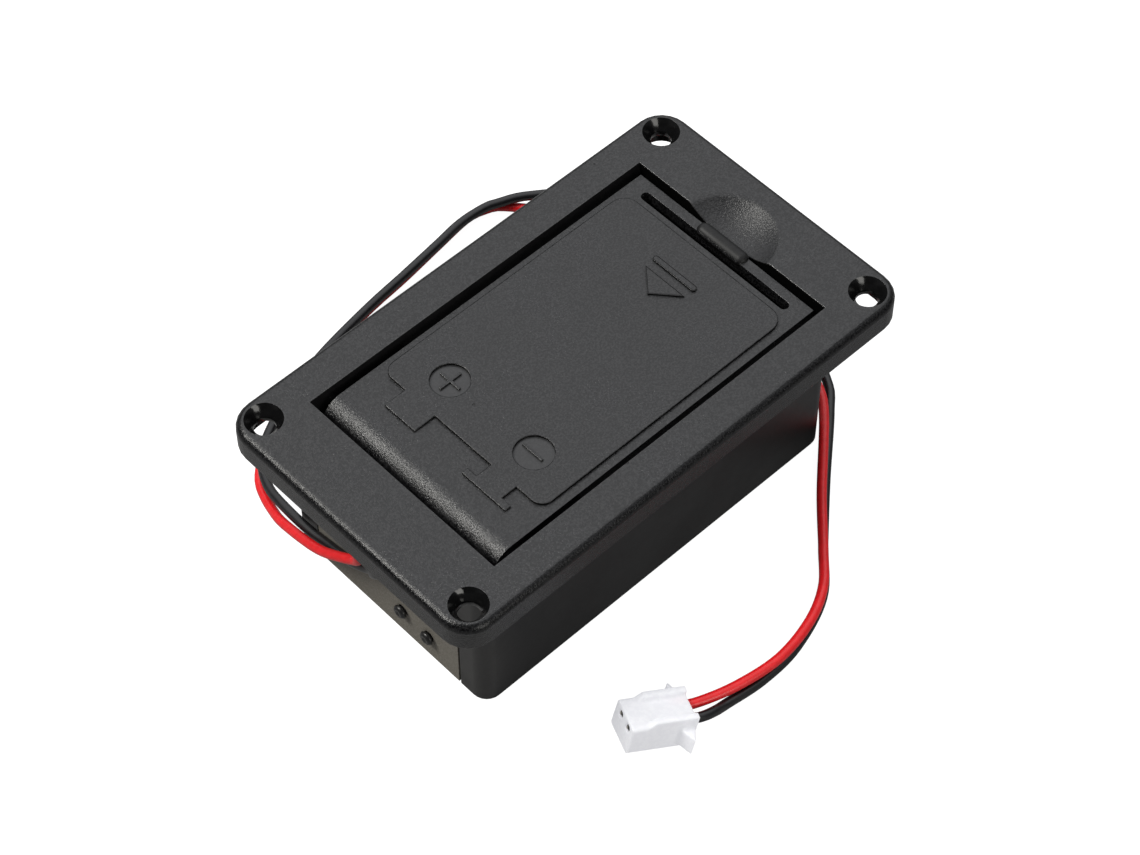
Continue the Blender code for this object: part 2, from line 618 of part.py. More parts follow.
def contact_path():
    """The middle of a contact strip in the XZ plane, with its half width share at each point."""
    bend = STRIP_THICKNESS
    path = [(STRIP_TAIL_X, WIRE_EXIT_Z + TAB_REACH, 0.0), (STRIP_TAIL_X, SLOT_Z + 4 * bend, 0.0)]
    path += [(STRIP_TAIL_X, SLOT_Z + 2 * bend, 1.0), (STRIP_TAIL_X + bend, SLOT_Z, 1.0)]
    path += [(STRIP_INSIDE_X - bend, SLOT_Z, 1.0), (STRIP_INSIDE_X, SLOT_Z - bend, 1.0)]
    reach = SPRING_X - STRIP_THICKNESS / 2 - STRIP_INSIDE_X
    for share in np.linspace(0.0, 1.0, 15):
        height = TERMINAL_Z + SPRING_HALF_HEIGHT * (1 - 2 * share)
        bulge = reach * (1 - math.cos(2 * math.pi * share)) / 2
        path.append((STRIP_INSIDE_X + bulge, height, 1.0))
    path.append((STRIP_INSIDE_X, STRIP_FOOT_Z, 1.0))
    return path


def build_contact(name, side, material):
    """A strip bent out of sheet: solder tail, wall slot, spring bow and foot."""
    path = contact_path()
    points = [Vector((x, z)) for x, z, _ in path]
    rings = []
    for index, (x, z, share) in enumerate(path):
        before = points[max(index - 1, 0)]
        after = points[min(index + 1, len(points) - 1)]
        tangent = (after - before).normalized()
        normal = Vector((-tangent.y, tangent.x)) * STRIP_THICKNESS / 2
        half = TAB_WIDTH / 2 + share * (STRIP_WIDTH - TAB_WIDTH) / 2
        middle = side * (WIRE_Y + share * (TERMINAL_Y - WIRE_Y))
        front = (x + normal.x, z + normal.y)
        back = (x - normal.x, z - normal.y)
        rings.append([
            (front[0], middle - half, front[1]), (front[0], middle + half, front[1]),
            (back[0], middle + half, back[1]), (back[0], middle - half, back[1]),
        ])
    body = add_solid(name, rings, material)
    shade(body, 50)
    return body


def build_solder(name, side, material):
    """A rounded blob of solder between a strip's tail and the end of its lead."""
    depth = SOLDER_X - (RECESS_X + GAP / 3)
    profile = []
    for angle in np.linspace(0, math.pi / 2 - 0.3, 5):
        profile.append((SOLDER_X - depth * math.sin(angle), SOLDER_RADIUS * math.cos(angle)))
    body = turned("X", profile, side * WIRE_Y, WIRE_EXIT_Z, SMALL_SEGMENTS, name, material)
    shade(body)
    return body


def smooth_curve(route, spacing):
    """Points at an even spacing along a smooth curve through the route's points."""
    points = [Vector(point) for point in route]
    points = [2 * points[0] - points[1], *points, 2 * points[-1] - points[-2]]
    fine = []
    for before, start, end, after in zip(points, points[1:], points[2:], points[3:]):
        for share in np.linspace(0.0, 1.0, 12, endpoint=False):
            straight = 2 * start + (end - before) * share
            bend = 2 * before - 5 * start + 4 * end - after
            twist = 3 * start - before - 3 * end + after
            fine.append((straight + bend * share ** 2 + twist * share ** 3) / 2)
    fine.append(points[-2])
    lengths = [(b - a).length for a, b in zip(fine, fine[1:])]
    travelled = np.concatenate(([0.0], np.cumsum(lengths)))
    count = round(travelled[-1] / spacing)
    places = np.linspace(0.0, travelled[-1], count + 1)
    columns = [np.interp(places, travelled, [point[axis] for point in fine]) for axis in range(3)]
    return list(zip(*columns))


def build_wire(name, route, material):
    points = smooth_curve(route, WIRE_POINT_SPACING)
    data = bpy.data.curves.new(name, "CURVE")
    data.dimensions = "3D"
    data.bevel_depth = WIRE_RADIUS
    data.bevel_resolution = 2
    data.use_fill_caps = True
    spline = data.splines.new("POLY")
    spline.points.add(len(points) - 1)
    for place, point in zip(spline.points, points):
        place.co = (*point, 1.0)
    data.materials.append(material)
    wire = bpy.data.objects.new(name, data)
    bpy.context.collection.objects.link(wire)
    return wire


def plug_way(side):
    """How far a way of the plug lies off its middle: side -1 is the red lead's and 1 the black one's."""
    return side * PLUG_PITCH / 2


def plug_ridge(side):
    """A ridge along one top edge of the plug, which slopes down at its front end."""
    top = PLUG_THICKNESS / 2
    section = [
        (0.0, top - OVERLAP), (PLUG_RIDGE_LENGTH, top - OVERLAP), (PLUG_RIDGE_LENGTH, top),
        (PLUG_RIDGE_LENGTH - PLUG_RIDGE_RAMP, top + PLUG_RIDGE_HEIGHT), (0.0, top + PLUG_RIDGE_HEIGHT),
    ]
    outer = PLUG_WIDTH / 2
    span = sorted((side * outer, side * (outer - PLUG_RIDGE_WIDTH)))
    return prism("Y", section, span[0], span[1])


def plug_ear(side):
    """A small three-cornered ear on one side of the plug, near its wires."""
    outer = side * PLUG_WIDTH / 2
    root = outer - side * OVERLAP
    tip = outer + side * PLUG_EAR_REACH
    start = PLUG_EAR_START
    end = start + PLUG_EAR_LENGTH
    section = [(start, root), (end, root), (end, outer), (start + 0.4 * PLUG_EAR_LENGTH, tip), (start, outer)]
    return prism("Z", section, -PLUG_EAR_DEPTH / 2, PLUG_EAR_DEPTH / 2)


def build_plug(material):
    half_y = PLUG_WIDTH / 2
    half_z = PLUG_THICKNESS / 2
    body = prism("X", rounded_rectangle(half_y, half_z, PLUG_EDGE_RADIUS, 3), 0.0, PLUG_LENGTH, "plug_housing")
    for side in (-1, 1):
        join(body, plug_ridge(side), plug_ear(side))
    cavity = PLUG_CAVITY_SIZE / 2
    hole = PLUG_PIN_HOLE_SIZE / 2
    cavity_end = PLUG_LENGTH - PLUG_FRONT_WALL
    height = PLUG_CONTACT_HEIGHT
    for side in (-1, 1):
        y = plug_way(side)
        bore = [(-OVERLAP, PLUG_BORE_RADIUS), (PLUG_BORE_DEPTH + OVERLAP / 4, PLUG_BORE_RADIUS)]
        cut(
            body,
            turned("X", bore, y, height, SMALL_SEGMENTS),
            block((PLUG_BORE_DEPTH, cavity_end), (y - cavity, y + cavity), (height - cavity, height + cavity)),
            block((cavity_end - OVERLAP, PLUG_LENGTH + OVERLAP), (y - hole, y + hole), (height - hole, height + hole)),
        )
    body.data.materials.clear()
    body.data.materials.append(material)
    shade(body)
    return body


def build_terminal(name, side, material):
    """A crimp socket: a round barrel behind a hollow square mouth."""
    y = plug_way(side)
    height = PLUG_CONTACT_HEIGHT
    start = PLUG_BORE_DEPTH + GAP
    end = PLUG_LENGTH - PLUG_FRONT_WALL - GAP
    shoulder = start + TERMINAL_BARREL_LENGTH
    outer = PLUG_CAVITY_SIZE / 2 - GAP
    inner = outer - TERMINAL_WALL
    body = block((shoulder, end), (y - outer, y + outer), (height - outer, height + outer), name)
    barrel = [(start, outer), (shoulder + OVERLAP, outer)]
    join(body, turned("X", barrel, y, height, SMALL_SEGMENTS))
    mouth = (shoulder + OVERLAP, end + OVERLAP)
    cut(body, block(mouth, (y - inner, y + inner), (height - inner, height + inner)))
    body.data.materials.clear()
    body.data.materials.append(material)
    shade(body)
    return body


def main():
    clear_scene()
    black_plastic = make_material("black_plastic", (0.016, 0.016, 0.017), 0.5)
    fibre_sheet = make_material("grey_fibre_sheet", (0.14, 0.13, 0.115), 0.75)
    nickel = make_material("nickel_plate", (0.62, 0.60, 0.56), 0.3, 1.0)
    solder = make_material("solder", (0.55, 0.56, 0.58), 0.35, 1.0)
    tin = make_material("tinned_brass", (0.66, 0.62, 0.55), 0.3, 1.0)
    foam = make_material("black_foam", (0.02, 0.02, 0.02), 0.95)
    red_vinyl = make_material("red_vinyl", (0.62, 0.008, 0.012), 0.3)
    black_vinyl = make_material("black_vinyl", (0.012, 0.012, 0.014), 0.35)
    white_nylon = make_material("white_nylon", (0.85, 0.85, 0.86), 0.4)

    build_housing(black_plastic)
    build_end_cover(fibre_sheet)
    hinge = bpy.data.objects.new("lid_hinge_axis", None)
    hinge.location = (HINGE_X, 0.0, HINGE_Z)
    hinge.empty_display_size = NOSE_RADIUS
    bpy.context.collection.objects.link(hinge)
    for piece in (build_lid(black_plastic), build_pad(foam)):
        piece.parent = hinge
        piece.location = -hinge.location

    build_contact("positive_contact", 1, nickel)
    build_contact("negative_contact", -1, nickel)
    build_solder("red_solder_joint", 1, solder)
    build_solder("black_solder_joint", -1, solder)
    build_wire("red_wire", RED_ROUTE, red_vinyl)
    build_wire("black_wire", BLACK_ROUTE, black_vinyl)

    plug_place = Matrix.Translation(PLUG_REAR)
    plug_place @= Matrix.Rotation(PLUG_YAW, 4, "Z")
    plug_place @= Matrix.Rotation(-PLUG_NOSE_UP, 4, "Y")
    plug_place @= Matrix.Rotation(PLUG_ROLL, 4, "X")
    plug_pieces = [
        build_plug(white_nylon),
        build_terminal("red_crimp_terminal", -1, tin),
        build_terminal("black_crimp_terminal", 1, tin),
    ]
    for piece in plug_pieces:
        piece.location = plug_place.to_translation()
        piece.rotation_euler = plug_place.to_euler()


main()
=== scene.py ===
# %% [markdown]
# # A nine volt battery holder with a flip lid
#
# The real part is a black moulded compartment that drops into a cut-out in a panel. Its flange has four
# countersunk screw holes, a lid flips up over one nine volt battery, and a red and a black lead run to a
# small white plug. This notebook dresses the measured model of it, piece by piece, and every size is in
# metres. X runs towards the lid's latch, Y across the holder and Z up out of the flange.

import math

import bmesh
import bpy
import numpy as np
from mathutils import Matrix, Vector


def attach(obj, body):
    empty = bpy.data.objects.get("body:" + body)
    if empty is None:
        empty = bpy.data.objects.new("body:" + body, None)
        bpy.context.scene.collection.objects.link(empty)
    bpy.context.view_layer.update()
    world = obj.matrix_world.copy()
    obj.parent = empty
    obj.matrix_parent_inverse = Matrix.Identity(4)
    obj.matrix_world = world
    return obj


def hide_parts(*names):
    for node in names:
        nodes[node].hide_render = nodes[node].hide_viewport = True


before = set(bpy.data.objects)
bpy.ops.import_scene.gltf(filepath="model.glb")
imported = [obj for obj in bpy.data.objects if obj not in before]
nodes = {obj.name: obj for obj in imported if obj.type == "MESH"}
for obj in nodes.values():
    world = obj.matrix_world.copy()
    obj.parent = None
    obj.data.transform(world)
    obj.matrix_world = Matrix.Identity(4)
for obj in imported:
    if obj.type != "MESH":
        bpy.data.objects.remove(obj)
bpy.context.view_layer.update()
print("pieces in the measured model:", ", ".join(sorted(nodes)))

# %% [markdown]
# ## Camera
#
# The photograph looks down on the holder from about 54 degrees, over the corner between the contact end and
# one long side, with a long lens, so edges that are parallel on the real part stay nearly parallel. A
# camera is placed by a position and a point that it looks at. The lens is long and far away rather than
# short and near, because that is what keeps the far end of the flange almost as wide as the near end.

# %% Camera
CAMERA_PLACE = Vector((-0.17289, -0.18252, 0.35511))
CAMERA_AIM = Vector((-0.00861, -0.00897, 0.0290))
CAMERA_ROLL = math.radians(-0.1)
CAMERA_LENS = 95.1


def make_camera():
    data = bpy.data.cameras.new("photo_camera")
    data.lens = CAMERA_LENS
    data.sensor_width = 36.0
    data.clip_start = 0.01
    camera = bpy.data.objects.new("photo_camera", data)
    bpy.context.collection.objects.link(camera)
    turn = (CAMERA_AIM - CAMERA_PLACE).to_track_quat("-Z", "Y").to_matrix()
    turn = turn @ Matrix.Rotation(CAMERA_ROLL, 3, "Z")
    camera.matrix_world = Matrix.Translation(CAMERA_PLACE) @ turn.to_4x4()
    bpy.context.scene.camera = camera


make_camera()
print("camera distance in mm:", round(1000 * (CAMERA_AIM - CAMERA_PLACE).length, 1))

# %% [markdown]
# ## Leads
#
# Each lead is 24 gauge stranded wire in soft vinyl, 1.5 mm across. The route is a short list of places that
# the lead goes through, as in the measured model: out of the end sheet, down behind the box, round the far
# side on the table and back past the near corner to the plug. Only the first loop of the red lead hugs the
# sheet a little closer. A smooth curve is drawn through the places, because straight runs joined by arcs
# look like bent wire. A curve with a round bevel is the easy way to give it its thickness. It is then turned
# into a tube of faces, because only a mesh is measured by its true outside.

# %% Routes of the two leads
WIRE_RADIUS = 0.00075
POINT_SPACING = 0.0011
RED_ROUTE = (
    (-0.03430, 0.00500, 0.02030), (-0.03495, 0.00500, 0.02030), (-0.03622, 0.00470, 0.01989),
    (-0.03726, 0.00388, 0.01912), (-0.03773, 0.00290, 0.01813), (-0.03776, 0.00208, 0.01627),
    (-0.03758, 0.00230, 0.01459), (-0.03738, 0.00337, 0.01325), (-0.03785, 0.00558, 0.01201),
    (-0.03825, 0.00936, 0.00980), (-0.03806, 0.01354, 0.00780), (-0.03717, 0.01991, 0.00470),
    (-0.03620, 0.02326, 0.00300), (-0.03510, 0.02641, 0.00180), (-0.03370, 0.02942, 0.00100),
    (-0.03181, 0.03156, 0.00084), (-0.02763, 0.03508, 0.00084), (-0.02185, 0.03784, 0.00084),
    (-0.01265, 0.04068, 0.00084), (-0.00147, 0.04275, 0.00084), (0.00674, 0.04373, 0.00084),
    (0.01468, 0.04491, 0.00084), (0.02132, 0.04580, 0.00084), (0.02488, 0.04514, 0.00084),
    (0.02743, 0.04349, 0.00084), (0.03300, 0.03630, 0.00084), (0.03900, 0.02660, 0.00084),
    (0.04200, 0.01350, 0.00084), (0.04120, -0.00050, 0.00095), (0.03800, -0.01000, 0.00190),
    (0.03590, -0.01514, 0.00255), (0.03251, -0.01926, 0.00260), (0.02268, -0.02817, 0.00260),
    (0.01569, -0.03518, 0.00260), (0.01124, -0.03935, 0.00265), (0.00570, -0.04202, 0.00275),
    (-0.00155, -0.04329, 0.00280), (-0.00904, -0.04244, 0.00295), (-0.01528, -0.04067, 0.00341),
    (-0.01843, -0.03920, 0.00434),
)
BLACK_ROUTE = (
    (-0.03430, -0.00500, 0.02030), (-0.03500, -0.00500, 0.02030), (-0.03651, -0.00465, 0.01996),
    (-0.03785, -0.00385, 0.01887), (-0.03825, -0.00280, 0.01750), (-0.03780, -0.00125, 0.01545),
    (-0.03686, 0.00036, 0.01360), (-0.03680, 0.00322, 0.01160), (-0.03657, 0.00593, 0.00980),
    (-0.03618, 0.01118, 0.00770), (-0.03599, 0.01611, 0.00640), (-0.03524, 0.02260, 0.00490),
    (-0.03437, 0.02625, 0.00380), (-0.03264, 0.02974, 0.00300), (-0.03042, 0.03237, 0.00265),
    (-0.02833, 0.03403, 0.00255), (-0.02239, 0.03700, 0.00255), (-0.01315, 0.03991, 0.00255),
    (-0.00205, 0.04194, 0.00255), (0.00607, 0.04293, 0.00255), (0.01392, 0.04397, 0.00255),
    (0.01926, 0.04469, 0.00255), (0.02388, 0.04444, 0.00255), (0.02596, 0.04376, 0.00255),
    (0.03050, 0.04160, 0.00250), (0.03790, 0.03580, 0.00175), (0.04340, 0.02460, 0.00087),
    (0.04530, 0.01100, 0.00084), (0.04450, -0.00180, 0.00084), (0.03910, -0.01360, 0.00084),
    (0.03520, -0.01800, 0.00084), (0.02578, -0.02612, 0.00084), (0.01750, -0.03358, 0.00084),
    (0.01099, -0.03965, 0.00084), (0.00256, -0.04284, 0.00084), (-0.00470, -0.04343, 0.00088),
    (-0.01150, -0.04300, 0.00170), (-0.01410, -0.04315, 0.00285), (-0.01660, -0.04280, 0.00375),
    (-0.01942, -0.04148, 0.00459),
)


def smooth_curve(route, spacing):
    """Points at an even spacing along a smooth curve through the route's points."""
    points = [Vector(point) for point in route]
    points = [2 * points[0] - points[1], *points, 2 * points[-1] - points[-2]]
    fine = []
    for before, start, end, after in zip(points, points[1:], points[2:], points[3:]):
        for share in np.linspace(0.0, 1.0, 12, endpoint=False):
            straight = 2 * start + (end - before) * share
            bend = 2 * before - 5 * start + 4 * end - after
            twist = 3 * start - before - 3 * end + after
            fine.append((straight + bend * share ** 2 + twist * share ** 3) / 2)
    fine.append(points[-2])
    lengths = [(b - a).length for a, b in zip(fine, fine[1:])]
    travelled = np.concatenate(([0.0], np.cumsum(lengths)))
    count = round(travelled[-1] / spacing)
    places = np.linspace(0.0, travelled[-1], count + 1)
    columns = [np.interp(places, travelled, [point[axis] for point in fine]) for axis in range(3)]
    return list(zip(*columns)), travelled[-1]


def make_lead(name, route, node):
    points, length = smooth_curve(route, POINT_SPACING)
    data = bpy.data.curves.new(name, "CURVE")
    data.dimensions = "3D"
    data.bevel_depth = WIRE_RADIUS
    data.bevel_resolution = 6
    data.use_fill_caps = True
    spline = data.splines.new("POLY")
    spline.points.add(len(points) - 1)
    for place, point in zip(spline.points, points):
        place.co = (*point, 1.0)
    spline.use_smooth = True
    centreline = bpy.data.objects.new(name + "_centreline", data)
    bpy.context.collection.objects.link(centreline)
    bent = centreline.evaluated_get(bpy.context.evaluated_depsgraph_get())
    tube = bpy.data.meshes.new_from_object(bent)
    bpy.data.objects.remove(centreline)
    lead = bpy.data.objects.new(name, tube)
    bpy.context.collection.objects.link(lead)
    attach(lead, "holder")
    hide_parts(node)
    print(name, "is", round(1000 * length, 1), "mm long")
    return lead, length, points


red_lead, red_length, red_line = make_lead("red_lead", RED_ROUTE, "red_wire")
black_lead, black_length, black_line = make_lead("black_lead", BLACK_ROUTE, "black_wire")

# %% [markdown]
# ## Small helpers
#
# Two things come back all through this notebook: a mesh that is edited as a bmesh and then becomes an object
# with its finishes, and a shader tree that is put together from small nodes. Both could be written out each
# time, but a short function for each keeps the cells about the holder itself.

# %% From a bmesh to an object


def new_piece(name, mesh, finishes=()):
    data = bpy.data.meshes.new(name)
    mesh.to_mesh(data)
    mesh.free()
    for finish in finishes:
        data.materials.append(finish)
    piece = bpy.data.objects.new(name, data)
    bpy.context.collection.objects.link(piece)
    return piece


# %% Nodes that calculate


def add_node(tree, kind, **values):
    node = tree.nodes.new(kind)
    for key, value in values.items():
        setattr(node, key, value)
    return node


def math_node(tree, operation, first, second):
    """One sum, product or the like, whose two terms are numbers or the outputs of other nodes."""
    node = add_node(tree, "ShaderNodeMath", operation=operation)
    for index, value in enumerate((first, second)):
        if isinstance(value, float):
            node.inputs[index].default_value = value
        else:
            tree.links.new(value, node.inputs[index])
    return node.outputs[0]


def range_node(tree, value, low, high):
    """A soft step from 0 at low to 1 at high."""
    node = add_node(tree, "ShaderNodeMapRange", interpolation_type="SMOOTHSTEP")
    tree.links.new(value, node.inputs["Value"])
    node.inputs["From Min"].default_value = low
    node.inputs["From Max"].default_value = high
    return node.outputs["Result"]


# %% [markdown]
# ## Floor
#
# The photograph has a plain white ground with hardly any shadow, and yet the plastic stays dark, because
# the real table only looked white to the camera. A white floor would throw its light back on the side walls
# and turn them grey. So the floor shows the camera a bright white, and a dimmer grey to the object. The
# Light Path node tells the two apart, and it stays in the floor's own material.

# %% Floor
bpy.context.scene.view_settings.view_transform = "Standard"
FLOOR_GREY = 0.25
FLOOR_GLOW = 0.92
FLOOR_LIGHT = 0.05
FLOOR_REACH = 1.5
FLOOR_GAP = 0.0001


def make_floor():
    mesh = bmesh.new()
    bmesh.ops.create_grid(mesh, x_segments=1, y_segments=1, size=FLOOR_REACH)
    material = bpy.data.materials.new("floor_paper")
    material.use_nodes = True
    tree = material.node_tree
    shader = tree.nodes["Principled BSDF"]
    shader.inputs["Base Color"].default_value = (FLOOR_GREY, FLOOR_GREY, FLOOR_GREY, 1.0)
    shader.inputs["Roughness"].default_value = 1.0
    shader.inputs["Specular IOR Level"].default_value = 0.0
    shader.inputs["Emission Color"].default_value = (1.0, 1.0, 1.0, 1.0)
    seen = add_node(tree, "ShaderNodeLightPath").outputs["Is Camera Ray"]
    glow = math_node(tree, "MULTIPLY", seen, FLOOR_GLOW)
    tree.links.new(math_node(tree, "ADD", glow, FLOOR_LIGHT), shader.inputs["Emission Strength"])
    floor = new_piece("floor", mesh, (material,))
    floor.location = (0.0, 0.0, -FLOOR_GAP)


make_floor()
print("floor is", 2 * FLOOR_REACH, "m across and shows the camera", round(FLOOR_GLOW + FLOOR_LIGHT, 2))

# %% [markdown]
# ## Sky
#
# In the photograph the light comes from above and behind, and the side of the studio by the camera is dark:
# the screw holes and the walls that face the camera are nearly black, while the flat plastic shines grey.
# So the sky is a soft bright patch behind the latch end, a dim dome, a dark wall behind the camera and a
# dark horizon, all worked out from the direction alone. The camera itself sees the sky plain white, so that
# every view has the same pale ground.

# %% Sky
BRIGHT_WAY = (0.407, 0.430, 0.807)
DARK_WAY = (-0.605, -0.625, 0.493)
PATCH_STRENGTH = 1.0
SEEN_SKY = 1.04
DOME_STRENGTH = 0.42
ROOM_STRENGTH = 0.10
SKY_TINT = (0.97, 0.98, 1.0, 1.0)
PATCH_EDGE = (0.45, 0.98)
DOME_EDGE = (0.25, 0.75)
SHADE_EDGE = (0.55, 0.92)
SHADE_DEPTH = 0.75


def make_sky():
    sky = bpy.data.worlds.new("studio")
    sky.use_nodes = True
    tree = sky.node_tree
    way = add_node(tree, "ShaderNodeTexCoord")
    shares = []
    for direction in (BRIGHT_WAY, DARK_WAY):
        towards = add_node(tree, "ShaderNodeVectorMath", operation="DOT_PRODUCT")
        towards.inputs[1].default_value = direction
        tree.links.new(way.outputs["Generated"], towards.inputs[0])
        shares.append(towards.outputs["Value"])
    height = add_node(tree, "ShaderNodeSeparateXYZ")
    tree.links.new(way.outputs["Generated"], height.inputs[0])
    patch = math_node(tree, "MULTIPLY", range_node(tree, shares[0], *PATCH_EDGE), PATCH_STRENGTH)
    dome = math_node(tree, "MULTIPLY", range_node(tree, height.outputs["Z"], *DOME_EDGE), DOME_STRENGTH)
    dome = math_node(tree, "ADD", dome, ROOM_STRENGTH)
    shade = math_node(tree, "MULTIPLY", range_node(tree, shares[1], *SHADE_EDGE), SHADE_DEPTH)
    dome = math_node(tree, "MULTIPLY", dome, math_node(tree, "SUBTRACT", 1.0, shade))
    background = tree.nodes["Background"]
    background.inputs["Color"].default_value = SKY_TINT
    seen = add_node(tree, "ShaderNodeLightPath").outputs["Is Camera Ray"]
    unseen = math_node(tree, "SUBTRACT", 1.0, seen)
    light = math_node(tree, "MULTIPLY", math_node(tree, "ADD", patch, dome), unseen)
    white = math_node(tree, "MULTIPLY", seen, SEEN_SKY)
    tree.links.new(math_node(tree, "ADD", light, white), background.inputs["Strength"])
    bpy.context.scene.world = sky


make_sky()
print("brightest sky:", round(PATCH_STRENGTH + DOME_STRENGTH, 2))

# %% [markdown]
# ## Lamps
#
# Two area lamps stand where the glints of the photograph say that softboxes stood. The first gives the
# bright band on the rolled end of the lid, whose middle leans about 30 degrees towards the hinge end. The
# second gives the small glint on the left inner wall of every screw hole. Each lamp is placed by a point
# that it aims at, which is easier to reason about than three rotation angles.

# %% Lamps
LAMP_TINT = (1.0, 0.985, 0.94)


def make_lamp(name, place, aim, size, power):
    data = bpy.data.lights.new(name, "AREA")
    data.shape = "RECTANGLE"
    data.size = size[0]
    data.size_y = size[1]
    data.energy = power
    data.color = LAMP_TINT
    lamp = bpy.data.objects.new(name, data)
    lamp.location = place
    lamp.rotation_euler = (Vector(aim) - Vector(place)).to_track_quat("-Z", "Y").to_euler()
    bpy.context.collection.objects.link(lamp)


make_lamp("hinge_end_softbox", (-0.36, 0.31, 0.56), (-0.02, 0.0, 0.02), (0.26, 0.18), 4.0)
make_lamp("side_softbox", (-0.05, -0.55, 0.22), (0.0, -0.03, 0.01), (0.30, 0.30), 1.1)

# %% [markdown]
# ## Moulded grain
#
# Moulds for such holders are spark eroded, so the plastic has a fine, even, pebbly grain about a third of a
# millimetre across. The grain could be real geometry, but at that size a bump is enough. Several finishes
# use it at their own scale, so it is a node group: built once, with named inputs, and it puts out only a
# height and a mask that the material then uses.

# %% A new node group


def new_group(name, inputs, outputs):
    group = bpy.data.node_groups.new(name, "ShaderNodeTree")
    for label, value in inputs:
        socket = group.interface.new_socket(name=label, in_out="INPUT", socket_type="NodeSocketFloat")
        socket.default_value = value
    for label in outputs:
        group.interface.new_socket(name=label, in_out="OUTPUT", socket_type="NodeSocketFloat")
    start = group.nodes.new("NodeGroupInput")
    end = group.nodes.new("NodeGroupOutput")
    return group, start, end


# %% The grain group
FINE_SHARE = 0.35
PIT_EDGE = (0.42, 0.62)


def make_grain_group():
    group, start, end = new_group("moulded_grain", (("Scale", 3000.0), ("Fineness", 2.4)), ("Height", "Pits"))
    place = add_node(group, "ShaderNodeTexCoord")
    broad = add_node(group, "ShaderNodeTexNoise")
    broad.inputs["Detail"].default_value = 3.0
    broad.inputs["Roughness"].default_value = 0.6
    fine = add_node(group, "ShaderNodeTexNoise")
    fine.inputs["Detail"].default_value = 1.0
    group.links.new(place.outputs["Object"], broad.inputs["Vector"])
    group.links.new(place.outputs["Object"], fine.inputs["Vector"])
    group.links.new(start.outputs["Scale"], broad.inputs["Scale"])
    finer = math_node(group, "MULTIPLY", start.outputs["Scale"], start.outputs["Fineness"])
    group.links.new(finer, fine.inputs["Scale"])
    fine_share = math_node(group, "MULTIPLY", fine.outputs["Fac"], FINE_SHARE)
    height = math_node(group, "ADD", broad.outputs["Fac"], fine_share)
    group.links.new(height, end.inputs["Height"])
    group.links.new(range_node(group, broad.outputs["Fac"], *PIT_EDGE), end.inputs["Pits"])
    return group


grain_group = make_grain_group()
print("grain group has", len(grain_group.nodes), "nodes")

# %% [markdown]
# ## Uneven gloss
#
# No moulding is equally glossy all over: the mould was polished by hand and the part has been handled. A
# soft cloud of noise moves the roughness between two values that each finish chooses. A painted map would
# do the same for one piece only, while a group works on every piece without any unwrapping.

# %% The uneven gloss group
CLOUD_EDGE = (0.3, 0.7)


def make_gloss_group():
    """Broad cloudy patches, as where a mould was polished a little unevenly or the part was handled."""
    inputs = (("Scale", 90.0), ("Low", 0.4), ("High", 0.6))
    group, start, end = new_group("uneven_gloss", inputs, ("Roughness",))
    place = add_node(group, "ShaderNodeTexCoord")
    cloud = add_node(group, "ShaderNodeTexNoise")
    cloud.inputs["Detail"].default_value = 4.0
    group.links.new(place.outputs["Object"], cloud.inputs["Vector"])
    group.links.new(start.outputs["Scale"], cloud.inputs["Scale"])
    span = math_node(group, "SUBTRACT", start.outputs["High"], start.outputs["Low"])
    share = range_node(group, cloud.outputs["Fac"], *CLOUD_EDGE)
    rough = math_node(group, "ADD", start.outputs["Low"], math_node(group, "MULTIPLY", span, share))
    group.links.new(rough, end.inputs["Roughness"])
    return group


gloss_group = make_gloss_group()
print("node groups:", grain_group.name, gloss_group.name)

# %% [markdown]
# ## Nicks
#
# The real flange and lid have a few small dents from handling. Each could be carved into the mesh, but a
# dent of a third of a millimetre is only seen by the light it breaks, so it is pressed into the bump
# height. The group measures the distance to one place and makes its rim ragged with noise, and it is used
# on the plastic and on the sheet.

# %% The nick group
RAG_SCALE = 2600.0
RAG_MIDDLE = 0.6
NICK_EDGE = (1.0, 0.3)


def make_nick_group():
    """A small ragged dent at one place on the object, as a mask that is 1 in its middle."""
    inputs = (("X", 0.0), ("Y", 0.0), ("Z", 0.0), ("Radius", 0.0003))
    group, start, end = new_group("nick", inputs, ("Mask",))
    place = add_node(group, "ShaderNodeTexCoord")
    rag = add_node(group, "ShaderNodeTexNoise")
    rag.inputs["Scale"].default_value = RAG_SCALE
    group.links.new(place.outputs["Object"], rag.inputs["Vector"])
    middle = add_node(group, "ShaderNodeCombineXYZ")
    for axis in ("X", "Y", "Z"):
        group.links.new(start.outputs[axis], middle.inputs[axis])
    away = add_node(group, "ShaderNodeVectorMath", operation="DISTANCE")
    group.links.new(place.outputs["Object"], away.inputs[0])
    group.links.new(middle.outputs[0], away.inputs[1])
    rim = math_node(group, "ADD", rag.outputs["Fac"], RAG_MIDDLE)
    ragged = math_node(group, "MULTIPLY", away.outputs["Value"], rim)
    share = math_node(group, "DIVIDE", ragged, start.outputs["Radius"])
    group.links.new(range_node(group, share, *NICK_EDGE), end.inputs["Mask"])
    return group


nick_group = make_nick_group()
print("nick group has", len(nick_group.nodes), "nodes")

# %% [markdown]
# ## Plastic, sheet, metal and vinyl
#
# Every finish is a Principled shader. The grain drives a bump, the uneven gloss drives the roughness, and
# the colour varies a little from pit to pit, so no finish is one flat colour.

# %% A finish from the groups


def new_material(name, colour, roughness, metallic=0.0):
    material = bpy.data.materials.new(name)
    material.use_nodes = True
    shader = material.node_tree.nodes["Principled BSDF"]
    shader.inputs["Base Color"].default_value = (*colour, 1.0)
    shader.inputs["Roughness"].default_value = roughness
    shader.inputs["Metallic"].default_value = metallic
    return material, shader


def place_group(tree, group, **values):
    node = add_node(tree, "ShaderNodeGroup", node_tree=group)
    for label, value in values.items():
        node.inputs[label].default_value = value
    return node


